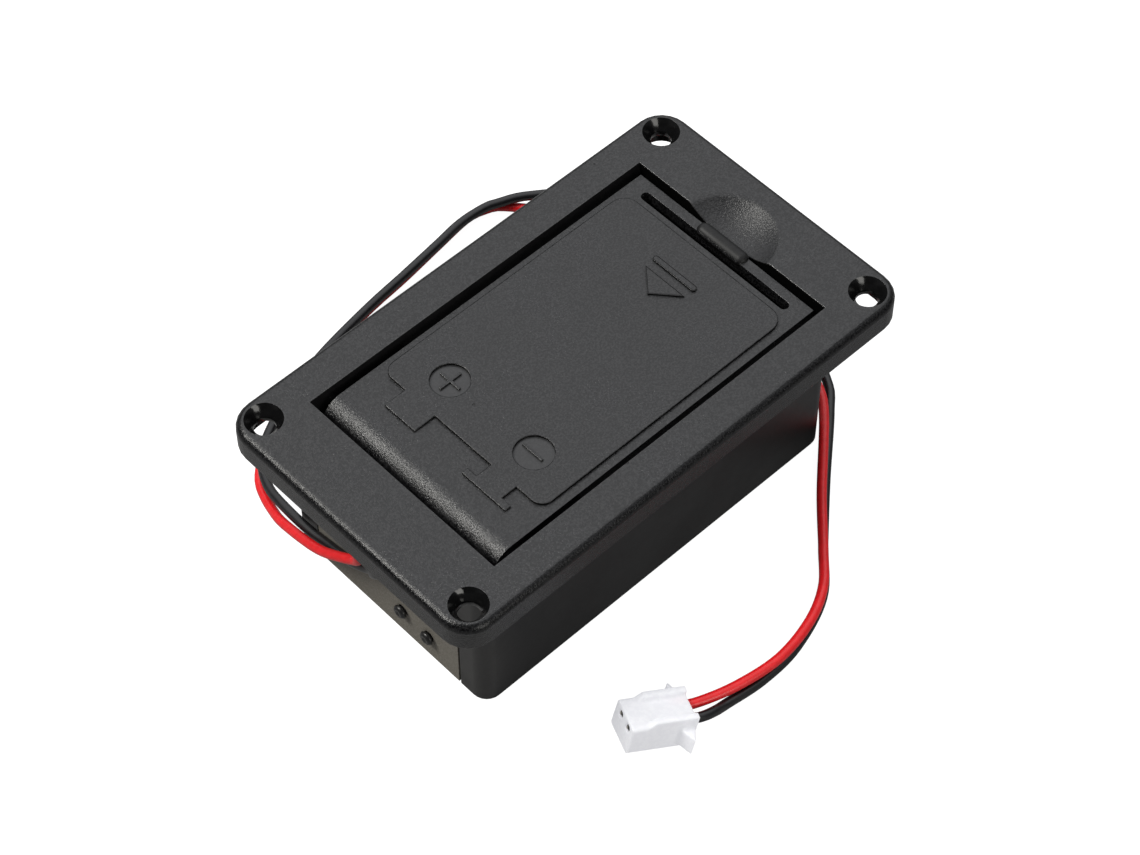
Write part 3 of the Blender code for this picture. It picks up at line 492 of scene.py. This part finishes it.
def grained(name, colours, gloss, grain_scale, grain_depth, grain_strength=0.5, metallic=0.0):
    """A finish whose colour goes between two tones with the grain and whose gloss is a little uneven."""
    material, shader = new_material(name, colours[0], gloss[0], metallic)
    tree = material.node_tree
    grain = place_group(tree, grain_group, Scale=grain_scale)
    uneven = place_group(tree, gloss_group, Low=gloss[0], High=gloss[1])
    tones = add_node(tree, "ShaderNodeMix", data_type="RGBA")
    tones.inputs[6].default_value = (*colours[0], 1.0)
    tones.inputs[7].default_value = (*colours[1], 1.0)
    tree.links.new(grain.outputs["Pits"], tones.inputs[0])
    tree.links.new(tones.outputs[2], shader.inputs["Base Color"])
    tree.links.new(uneven.outputs["Roughness"], shader.inputs["Roughness"])
    bump = add_node(tree, "ShaderNodeBump")
    bump.inputs["Distance"].default_value = grain_depth
    bump.inputs["Strength"].default_value = grain_strength
    tree.links.new(grain.outputs["Height"], bump.inputs["Height"])
    tree.links.new(bump.outputs["Normal"], shader.inputs["Normal"])
    return material


def weaken_shine(material, specular):
    """Weaken the mirror-like part of a finish, as on a surface that the mould left matte."""
    material.node_tree.nodes["Principled BSDF"].inputs["Specular IOR Level"].default_value = specular


# %% Nicks in a finish
PLASTIC_NICKS = (
    (-0.0151, 0.0031, 0.02847, 0.00022), (-0.0240, -0.0181, 0.0290, 0.00030),
    (-0.0070, -0.0184, 0.0290, 0.00030), (-0.0412, 0.0128, 0.0287, 0.00040),
    (-0.0411, 0.0141, 0.0287, 0.00025), (0.0262, 0.0226, 0.0290, 0.00018),
)
SHEET_NICKS = ((-0.0349, -0.0052, 0.0006, 0.00040), (-0.0349, -0.0121, 0.0102, 0.00025))
NICK_DEPTH = 1.3


def add_nicks(material, places):
    """Press small dents into a finish by taking them away from its bump height."""
    tree = material.node_tree
    bump = next(node for node in tree.nodes if node.bl_idname == "ShaderNodeBump")
    height = bump.inputs["Height"].links[0].from_socket
    for x, y, z, radius in places:
        nick = place_group(tree, nick_group, X=x, Y=y, Z=z, Radius=radius)
        depth = math_node(tree, "MULTIPLY", nick.outputs["Mask"], NICK_DEPTH)
        height = math_node(tree, "SUBTRACT", height, depth)
    tree.links.new(height, bump.inputs["Height"])
    print(len(places), "nicks in", material.name)


# %% The black plastics
black_plastic = grained(
    "black_plastic", ((0.0018, 0.0018, 0.0022), (0.0165, 0.0165, 0.0175)), (0.25, 0.34), 3400, 0.00009, 1.0)
disc_plastic = grained(
    "disc_plastic", ((0.015, 0.015, 0.016), (0.022, 0.022, 0.023)), (0.34, 0.42), 3400, 0.00003, 0.6)
# A lighter finish that the Bevel modifier puts on the rounded strips: a painted highlight along the rims.
painted_highlight_edge = grained(
    "painted_highlight_edge", ((0.015, 0.015, 0.016), (0.036, 0.036, 0.036)), (0.22, 0.30), 3400, 0.00006, 0.8)
rim_plastic = grained(
    "rim_plastic", ((0.0015, 0.0015, 0.0018), (0.0120, 0.0120, 0.0128)), (0.15, 0.22), 3400, 0.00006, 1.0)
weaken_shine(rim_plastic, 0.26)
smooth_plastic = grained(
    "smooth_plastic", ((0.0060, 0.0058, 0.0062), (0.008, 0.0078, 0.0082)), (0.30, 0.44), 1400, 0.00003, 0.3)
thumb_plastic = grained(
    "thumb_plastic", ((0.0050, 0.0050, 0.0052), (0.0090, 0.0090, 0.0094)), (0.44, 0.54), 3400, 0.00004, 0.5)
weaken_shine(thumb_plastic, 0.30)
# Nearly black with little shine: painted shade for the outline's walls and shoulder, the arrow's walls and
# the walls of the lid opening.
painted_shade_plastic = grained(
    "painted_shade_plastic", ((0.001, 0.001, 0.001), (0.002, 0.002, 0.002)), (0.45, 0.55), 3400, 0.00002)
weaken_shine(painted_shade_plastic, 0.12)
glossy_plastic = grained(
    "glossy_plastic", ((0.004, 0.004, 0.0042), (0.005, 0.005, 0.0052)), (0.10, 0.18), 1800, 0.00002, 0.25)
add_nicks(black_plastic, PLASTIC_NICKS)

# %% Sheet, metal, foam and vinyl
fibre_sheet = grained(
    "fibre_sheet", ((0.150, 0.138, 0.116), (0.205, 0.192, 0.168)), (0.65, 0.8), 5200, 0.00003)
add_nicks(fibre_sheet, SHEET_NICKS)
nickel = grained(
    "nickel", ((0.60, 0.58, 0.54), (0.70, 0.68, 0.64)), (0.22, 0.34), 6000, 0.00001, metallic=1.0)
solder = grained(
    "solder", ((0.55, 0.56, 0.58), (0.68, 0.69, 0.70)), (0.28, 0.45), 2500, 0.00003, metallic=1.0)
tin = grained("tin", ((0.60, 0.57, 0.50), (0.72, 0.69, 0.62)), (0.22, 0.36), 6000, 0.00001, metallic=1.0)
# Nearly black: painted shade inside the pin holes.
socket_shade = grained(
    "socket_shade", ((0.010, 0.010, 0.010), (0.020, 0.019, 0.017)), (0.3, 0.4), 6000, 0.00001)
foam = grained("foam", ((0.010, 0.010, 0.010), (0.032, 0.032, 0.032)), (0.9, 1.0), 2600, 0.0002)
red_vinyl = grained("red_vinyl", ((0.68, 0.007, 0.010), (0.75, 0.010, 0.015)), (0.30, 0.40), 900, 0.00001)
black_vinyl = grained(
    "black_vinyl", ((0.005, 0.005, 0.006), (0.008, 0.008, 0.009)), (0.28, 0.38), 900, 0.00001)

# %% Milky nylon with a painted glow
glowing_nylon = grained("glowing_nylon", ((0.50, 0.50, 0.515), (0.54, 0.54, 0.55)), (0.36, 0.46), 1500, 0.00001)
glowing_nylon_shader = glowing_nylon.node_tree.nodes["Principled BSDF"]
glowing_nylon_shader.inputs["Subsurface Weight"].default_value = 0.45
glowing_nylon_shader.inputs["Subsurface Radius"].default_value = (0.0015, 0.0015, 0.0016)
glowing_nylon_shader.inputs["Subsurface Scale"].default_value = 1.0
# The emission is a painted glow: it brightens the plug on every side, though the plug is no lamp.
glowing_nylon_shader.inputs["Emission Color"].default_value = (0.93, 0.94, 1.0, 1.0)
glowing_nylon_shader.inputs["Emission Strength"].default_value = 0.40
print("finishes:", ", ".join(sorted(material.name for material in bpy.data.materials if material.users)))

# %% [markdown]
# ## Housing, lid and sheet with moulded edges
#
# A moulded edge is never a knife edge: the tool leaves a radius of about a tenth of a millimetre, and that
# narrow strip is what catches the light along every rim. The measured pieces are made of plain triangles,
# so each one is copied, its flat faces are joined again, and a Bevel modifier rounds only the edges that
# turn sharply: an outer edge by the full radius, an inner corner by much less. A Weighted Normal modifier
# after it keeps the big flat faces flat. Modelling each fillet by hand would give the same strip with far
# more work.

# %% The measured piece without its doubled points
SAME_POINT = 0.000002
SAME_PLANE = math.radians(0.3)


def joined_mesh(node_name):
    """The measured piece with its doubled points merged and its flat faces joined."""
    mesh = bmesh.new()
    mesh.from_mesh(nodes[node_name].data)
    bmesh.ops.remove_doubles(mesh, verts=mesh.verts, dist=SAME_POINT)
    bmesh.ops.dissolve_limit(mesh, angle_limit=SAME_PLANE, verts=mesh.verts, edges=mesh.edges)
    return mesh


# %% Which edges are rounded
SCREW_X = 0.0375
SCREW_Y = 0.02045
SCREW_REACH = 0.0031
INNER_SHARE = 0.2


def from_screw(place):
    return math.hypot(abs(place.x) - SCREW_X, abs(place.y) - SCREW_Y)


def mark_edges(mesh, turn):
    """Tell the Bevel modifier how much of its width each sharp edge gets."""
    weight = mesh.edges.layers.float.new("bevel_weight_edge")
    for edge in mesh.edges:
        if len(edge.link_faces) == 2 and edge.calc_face_angle() > math.radians(turn):
            crisp = from_screw(edge.verts[0].co) < SCREW_REACH or not edge.is_convex
            edge[weight] = INNER_SHARE if crisp else 1.0


# %% A copy with soft edges


def soften(piece, width, edge_finish=-1):
    bevel = piece.modifiers.new("moulded_edges", "BEVEL")
    bevel.width = width
    bevel.material = edge_finish
    bevel.segments = 2
    bevel.limit_method = "WEIGHT"
    bevel.use_clamp_overlap = False
    bevel.harden_normals = True
    flat = piece.modifiers.new("flat_faces", "WEIGHTED_NORMAL")
    flat.keep_sharp = False
    flat.weight = 80


def soft_copy(node_name, body, width, finishes, choose=None, shape=None, turn=40):
    mesh = joined_mesh(node_name)
    if shape:
        shape(mesh)
    mark_edges(mesh, turn)
    for face in mesh.faces:
        face.smooth = True
        if choose:
            face.material_index = choose(face.calc_center_median(), face.normal)
    piece = new_piece(node_name + "_moulded", mesh, finishes)
    # The bevel strips take the lighter edge finish where a piece has it, which is a painted highlight.
    soften(piece, width, finishes.index(painted_highlight_edge) if painted_highlight_edge in finishes else -1)
    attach(piece, body)
    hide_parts(node_name)
    print(node_name, "has", len(piece.data.polygons), "faces and edges rounded by", 1000 * width, "mm")


# %% [markdown]
# ## Relief and the finish of each face
#
# The lid carries the raised outline of a battery with two sunk discs. Its walls are less than half a
# millimetre high and look black in the photograph, from every side. So the raised face is lifted a little,
# its rim is bevelled into a shoulder that slopes down by a few hundredths of a millimetre, and both get a
# nearly black, matte finish that is painted shade: a wall alone would be hidden where it turns away from
# the eye. Which finish a face gets is decided by where the face lies and which way it looks. It could be
# picked by hand in the viewport, but a rule still works after the model is built again.

# %% The relief on the lid
CAD_LID_FACE = 0.02835
LID_FACE = 0.02847
SHOULDER = 0.00016
SHOULDER_DROP = 0.00004
NOSE_END = -0.0238
STEEP = math.radians(60)


def on_lid_face(corner):
    return abs(corner.co.z - LID_FACE) < 0.00001


def raise_outline(mesh):
    """The battery outline stands a tenth of a millimetre prouder, and its rim gets a sloping shoulder."""
    for corner in mesh.verts:
        if abs(corner.co.z - CAD_LID_FACE) < 0.00001:
            corner.co.z = LID_FACE
    outer = [edge for edge in mesh.edges if len(edge.link_faces) == 2 and edge.is_convex]
    rim = [edge for edge in outer
           if edge.calc_face_angle() > STEEP and on_lid_face(edge.verts[0]) and on_lid_face(edge.verts[1])]
    bmesh.ops.bevel(mesh, geom=rim, offset=SHOULDER, offset_type="OFFSET", segments=1, profile=0.5,
                    affect="EDGES", clamp_overlap=True)
    for corner in mesh.verts:
        if abs(corner.co.z - LID_FACE + SHOULDER) < 0.00001 and corner.co.x > NOSE_END:
            corner.co.z = LID_FACE - SHOULDER_DROP
    print("outline: shoulders on", len(rim), "edges")


# %% Which finish goes where on the housing
# Each of the first numbers is the place of a finish in HOUSING_FINISHES.
GRAINED = 0
SMOOTH = 1
COUNTERSUNK = 2
RECESS_SHADE = 4
RIM = 5
HOUSING_FINISHES = (black_plastic, smooth_plastic, glossy_plastic, painted_highlight_edge, painted_shade_plastic, rim_plastic)
UPRIGHT = 0.3
NEARLY_UPRIGHT = 0.4
MOUTH_REACH = 0.0029
BELOW_TOP = 0.02895
UNDER_FLANGE = 0.0244
END_WALL_X = -0.0351
END_WALL_TOP = 0.0230


def on_flange_rim(centre):
    return centre.z > 0.0275 and (abs(centre.x) > 0.0395 or abs(centre.y) > 0.0225)


def in_lid_recess(centre):
    return centre.z > 0.0245 and abs(centre.x) < 0.0330 and abs(centre.y) < 0.0215


def housing_finish(centre, normal):
    """Grain above, a smoother drawn surface on the walls below the flange, gloss in the countersinks, painted
    shade on the walls of the lid opening.
    """
    if from_screw(centre) < MOUTH_REACH and centre.z < BELOW_TOP:
        return COUNTERSUNK
    if centre.x < END_WALL_X and centre.z < END_WALL_TOP:
        return SMOOTH
    # The walls of the lid opening take the painted shade.
    if abs(normal.z) < UPRIGHT and in_lid_recess(centre):
        return RECESS_SHADE
    if centre.z < UNDER_FLANGE and abs(normal.z) < NEARLY_UPRIGHT:
        return SMOOTH
    if 0.08 < normal.z < 0.97 and on_flange_rim(centre):
        return RIM
    return GRAINED


# %% Which finish goes where on the lid
# GRAINED is the first of LID_FINISHES too, and the numbers here are the places of the others.
DISC = 1
PAINTED_SHADE = 2
THUMB = 4
LID_FINISHES = (black_plastic, disc_plastic, painted_shade_plastic, painted_highlight_edge, thumb_plastic)
DISC_X = -0.01465
DISC_PLACES = (0.00835, -0.0081)
DISC_REACH = 0.003
DISC_TOP = 0.0282
THUMB_X = 0.0265
THUMB_FOOT = 0.0283
OUTLINE_FOOT = 0.0278


def lid_finish(centre, normal):
    """Painted shade on the small upright walls and the outline's shoulder, a smoother finish in the two sunk
    discs, grain elsewhere.
    """
    from_disc = min(math.hypot(centre.x - DISC_X, centre.y - place) for place in DISC_PLACES)
    if from_disc < DISC_REACH and normal.z > 0.9 and centre.z < DISC_TOP:
        return DISC
    if centre.x > THUMB_X and centre.z > THUMB_FOOT:
        return THUMB
    # The outline's walls and its sloping shoulder take the painted shade.
    if abs(normal.z) < UPRIGHT and centre.z > OUTLINE_FOOT:
        return PAINTED_SHADE
    if abs(centre.z - LID_FACE) < SHOULDER_DROP and 0.85 < normal.z < 0.99 and centre.x > NOSE_END:
        return PAINTED_SHADE
    return GRAINED


# %% Housing, lid and sheet
HOUSING_EDGE = 0.00012
LID_EDGE = 0.00006
SHEET_EDGE = 0.00004
soft_copy("housing", "holder", HOUSING_EDGE, HOUSING_FINISHES, housing_finish)
soft_copy("lid", "lid", LID_EDGE, LID_FINISHES, lid_finish, raise_outline, turn=50)
soft_copy("end_cover", "holder", SHEET_EDGE, (fibre_sheet,))

# %% [markdown]
# ## Plug
#
# Natural nylon is milky, and the plug's edges are soft and round, with two ears at the wire end and a small
# metal mouth behind each pin hole. The measured plug has the right body, ridges and holes but sharp
# corners. Its ears are pulled out a little, then a Remesh modifier turns it into an even fine net and a
# Smooth modifier melts every corner by the same amount. A bevel would not do, as its strips cross where
# ridge, ear and body meet.

# %% Plug
PLUG_REAR = Vector((-0.01733, -0.04122, 0.00274))
PLUG_HALF_WIDTH = 0.00295
EAR_REACH = 0.00095
EAR_STRETCH = 2.6
PLUG_PITCH = 0.0025
NET_SIZE = 0.00012
MELT_SHARE = 0.6
MELT_STEPS = 26
PLUG_TURN = Matrix.Rotation(math.radians(155), 4, "Z")
PLUG_TURN @= Matrix.Rotation(math.radians(-15), 4, "Y")
PLUG_TURN @= Matrix.Rotation(math.radians(6), 4, "X")
plug_place = Matrix.Translation(PLUG_REAR) @ PLUG_TURN


def stretch_ears(mesh):
    back = plug_place.inverted()
    for corner in mesh.verts:
        local = back @ corner.co
        beyond = abs(local.y) - PLUG_HALF_WIDTH
        if beyond > 0.0001:
            local.y += math.copysign(beyond * (EAR_STRETCH - 1.0), local.y)
            corner.co = plug_place @ local


def make_plug():
    mesh = joined_mesh("plug_housing")
    stretch_ears(mesh)
    plug = new_piece("milky_plug", mesh, (glowing_nylon,))
    net = plug.modifiers.new("fine_net", "REMESH")
    net.mode = "VOXEL"
    net.voxel_size = NET_SIZE
    net.use_smooth_shade = True
    melt = plug.modifiers.new("soft_corners", "SMOOTH")
    melt.factor = MELT_SHARE
    melt.iterations = MELT_STEPS
    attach(plug, "holder")
    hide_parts("plug_housing")
    return plug


plug = make_plug()
print("plug is turned", round(math.degrees(plug_place.to_euler().z)), "degrees about Z")

# %% [markdown]
# ## Metal in the pin holes
#
# Behind each square pin hole lies a crimped socket, so the hole looks dark with a small metal glint. The
# milky nylon, with its painted glow, would otherwise let the hole glow. A nearly black block, which is
# painted shade, with a thin tin tongue in front of it is enough, as nothing deeper can be seen.

# %% Metal in the pin holes
HOLE_HEIGHT = 0.0012
HOLE_HALF = 0.00046
SHADE_START = 0.0086
SHADE_END = 0.0095
TONGUE_START = 0.0087
TONGUE_END = 0.0096
TONGUE_WIDTH = 0.00028
TONGUE_RISE = 0.00005


def make_block(name, low, high, finish):
    """A block inside the plug, given by two corners measured from the wire end."""
    mesh = bmesh.new()
    bmesh.ops.create_cube(mesh, size=1.0)
    low = Vector(low)
    size = Vector(high) - low
    for corner in mesh.verts:
        share = corner.co + Vector((0.5, 0.5, 0.5))
        corner.co = plug_place @ Vector([a + b * c for a, b, c in zip(low, share, size)])
    piece = new_piece(name, mesh, (finish,))
    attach(piece, "holder")
    return piece


def make_socket(name, way):
    """The shaded inside of one pin hole and the metal tongue that shows in it."""
    side = way - HOLE_HALF
    floor = HOLE_HEIGHT - HOLE_HALF
    shade_corner = (SHADE_END, way + HOLE_HALF, HOLE_HEIGHT + HOLE_HALF)
    tongue_corner = (TONGUE_END, side + TONGUE_WIDTH, HOLE_HEIGHT + TONGUE_RISE)
    shade = make_block(name + "_socket_shade", (SHADE_START, side, floor), shade_corner, socket_shade)
    tongue = make_block(name + "_socket_tongue", (TONGUE_START, side, floor), tongue_corner, tin)
    return [shade, tongue]


red_socket = make_socket("red", -PLUG_PITCH / 2)
black_socket = make_socket("black", PLUG_PITCH / 2)
print("plug ears reach", round(1000 * EAR_STRETCH * EAR_REACH, 2), "mm before their corners melt")
print("pin holes are", 2000 * HOLE_HALF, "mm wide")

# %% [markdown]
# ## The two leads
#
# A lead is a limp length that hangs and lies under its own weight. Here each lead stays the tube built
# above, and this cell only prints their names. Both leads end in the same plug.

print("cords:", red_lead.name, black_lead.name)

# %% [markdown]
# ## Signs on the lid
#
# A plus and a minus stand in the two sunk discs, and an arrow head with a bar behind it shows which way the
# lid opens. All of them are raised by about a third of a millimetre, so they show as thin dark walls and
# lighter rims, and the rims also carry a painted highlight on their rounded edges. They are small prisms
# with rounded edges, and the arrow has the same painted dark shoulder as the outline, with its walls in
# painted shade too. They could be a bump, but a bump has no wall for the light to fall on.

# %% Outlines of the signs


def bar_outline(middle_x, middle_y, half_x, half_y):
    corners = ((-1, -1), (1, -1), (1, 1), (-1, 1))
    return [(middle_x + side_x * half_x, middle_y + side_y * half_y) for side_x, side_y in corners]


def capsule_outline(middle_x, middle_y, radius, half_length):
    points = []
    for start, end_y in ((0.0, middle_y + half_length), (math.pi, middle_y - half_length)):
        for step in range(9):
            angle = start + math.pi * step / 8
            points.append((middle_x + radius * math.cos(angle), end_y + radius * math.sin(angle)))
    return points


def plus_outline(middle_x, middle_y, half_width, half_length):
    w = half_width
    r = half_length
    corners = (
        (w, w), (w, r), (-w, r), (-w, w), (-r, w), (-r, -w),
        (-w, -w), (-w, -r), (w, -r), (w, -w), (r, -w), (r, w),
    )
    return [(middle_x + x, middle_y + y) for x, y in corners]


# %% A raised shape
SIGN_FOOT = 0.0001
SIGN_FINISHES = (black_plastic, painted_highlight_edge, painted_shade_plastic)


def raised_shape(name, outline, bottom, height, edge_width, shoulder=0.0):
    """A prism that stands on the lid over an outline given as corners, with a sloping shoulder if asked."""
    mesh = bmesh.new()
    low = [mesh.verts.new((x, y, bottom - SIGN_FOOT)) for x, y in outline]
    high = [mesh.verts.new((x, y, bottom + height)) for x, y in outline]
    count = len(outline)
    for index in range(count):
        following = (index + 1) % count
        mesh.faces.new((low[index], low[following], high[following], high[index]))
    top = mesh.faces.new(high)
    mesh.faces.new(list(reversed(low)))
    bmesh.ops.recalc_face_normals(mesh, faces=mesh.faces)
    if shoulder:
        bmesh.ops.inset_region(mesh, faces=[top], thickness=shoulder, use_even_offset=True)
        for corner in high:
            corner.co.z -= SHOULDER_DROP
    mesh.normal_update()
    mark_edges(mesh, 40)
    for face in mesh.faces:
        face.smooth = True
        # With a shoulder, the walls and the shoulder take painted shade.
        face.material_index = PAINTED_SHADE if shoulder and face is not top else GRAINED
    piece = new_piece(name, mesh, SIGN_FINISHES)
    # The rounded edges of every sign take the lighter edge finish, a painted highlight.
    soften(piece, edge_width, edge_finish=SIGN_FINISHES.index(painted_highlight_edge))
    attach(piece, "lid")


# %% The signs
DISC_FLOOR = 0.02810
SIGN_HEIGHT = 0.00033
SIGN_WIDTH = 0.00042
SIGN_EDGE = 0.00007
PLUS_REACH = 0.00195
MINUS_REACH = 0.0019
ARROW_HEIGHT = 0.0003
ARROW_EDGE = 0.00006
half = SIGN_WIDTH / 2
plus = plus_outline(DISC_X, DISC_PLACES[0], half, PLUS_REACH)
minus = bar_outline(DISC_X, DISC_PLACES[1], half, MINUS_REACH)
arrow = ((0.0152, 0.0005), (0.0186, -0.0034), (0.0186, 0.0044))
bar = capsule_outline(0.02055, 0.0005, 0.0005, 0.0037)
raised_shape("plus_sign", plus, DISC_FLOOR, SIGN_HEIGHT, SIGN_EDGE)
raised_shape("minus_sign", minus, DISC_FLOOR, SIGN_HEIGHT, SIGN_EDGE)
raised_shape("arrow_head", arrow, LID_FACE, ARROW_HEIGHT, ARROW_EDGE, SHOULDER)
raised_shape("arrow_bar", bar, LID_FACE, ARROW_HEIGHT, ARROW_EDGE, SHOULDER)
print("sign walls are", 1000 * SIGN_HEIGHT, "mm high")

# %% [markdown]
# ## Contacts, solder, foam and leads
#
# These pieces keep their measured shapes, because their plain bent strips and blocks are what the real ones
# look like. They only need a finish: nickel on the contacts, solder on the joints, tin on the crimps, open
# foam under the lid, and vinyl on the leads. Each is put in the material slots that the piece already has.

# %% Give the other pieces their finish
FINISHES = {
    "lid_pad": foam, "positive_contact": nickel, "negative_contact": nickel, "red_solder_joint": solder,
    "black_solder_joint": solder, "red_crimp_terminal": tin, "black_crimp_terminal": tin,
}
for node_name, finish in FINISHES.items():
    for place in nodes[node_name].material_slots:
        place.material = finish
red_lead.data.materials.append(red_vinyl)
black_lead.data.materials.append(black_vinyl)
print("finished as they are:", ", ".join(FINISHES))

# %% [markdown]
# ## Last update
#
# The last line brings the scene up to date.

# %% Finish
bpy.context.view_layer.update()
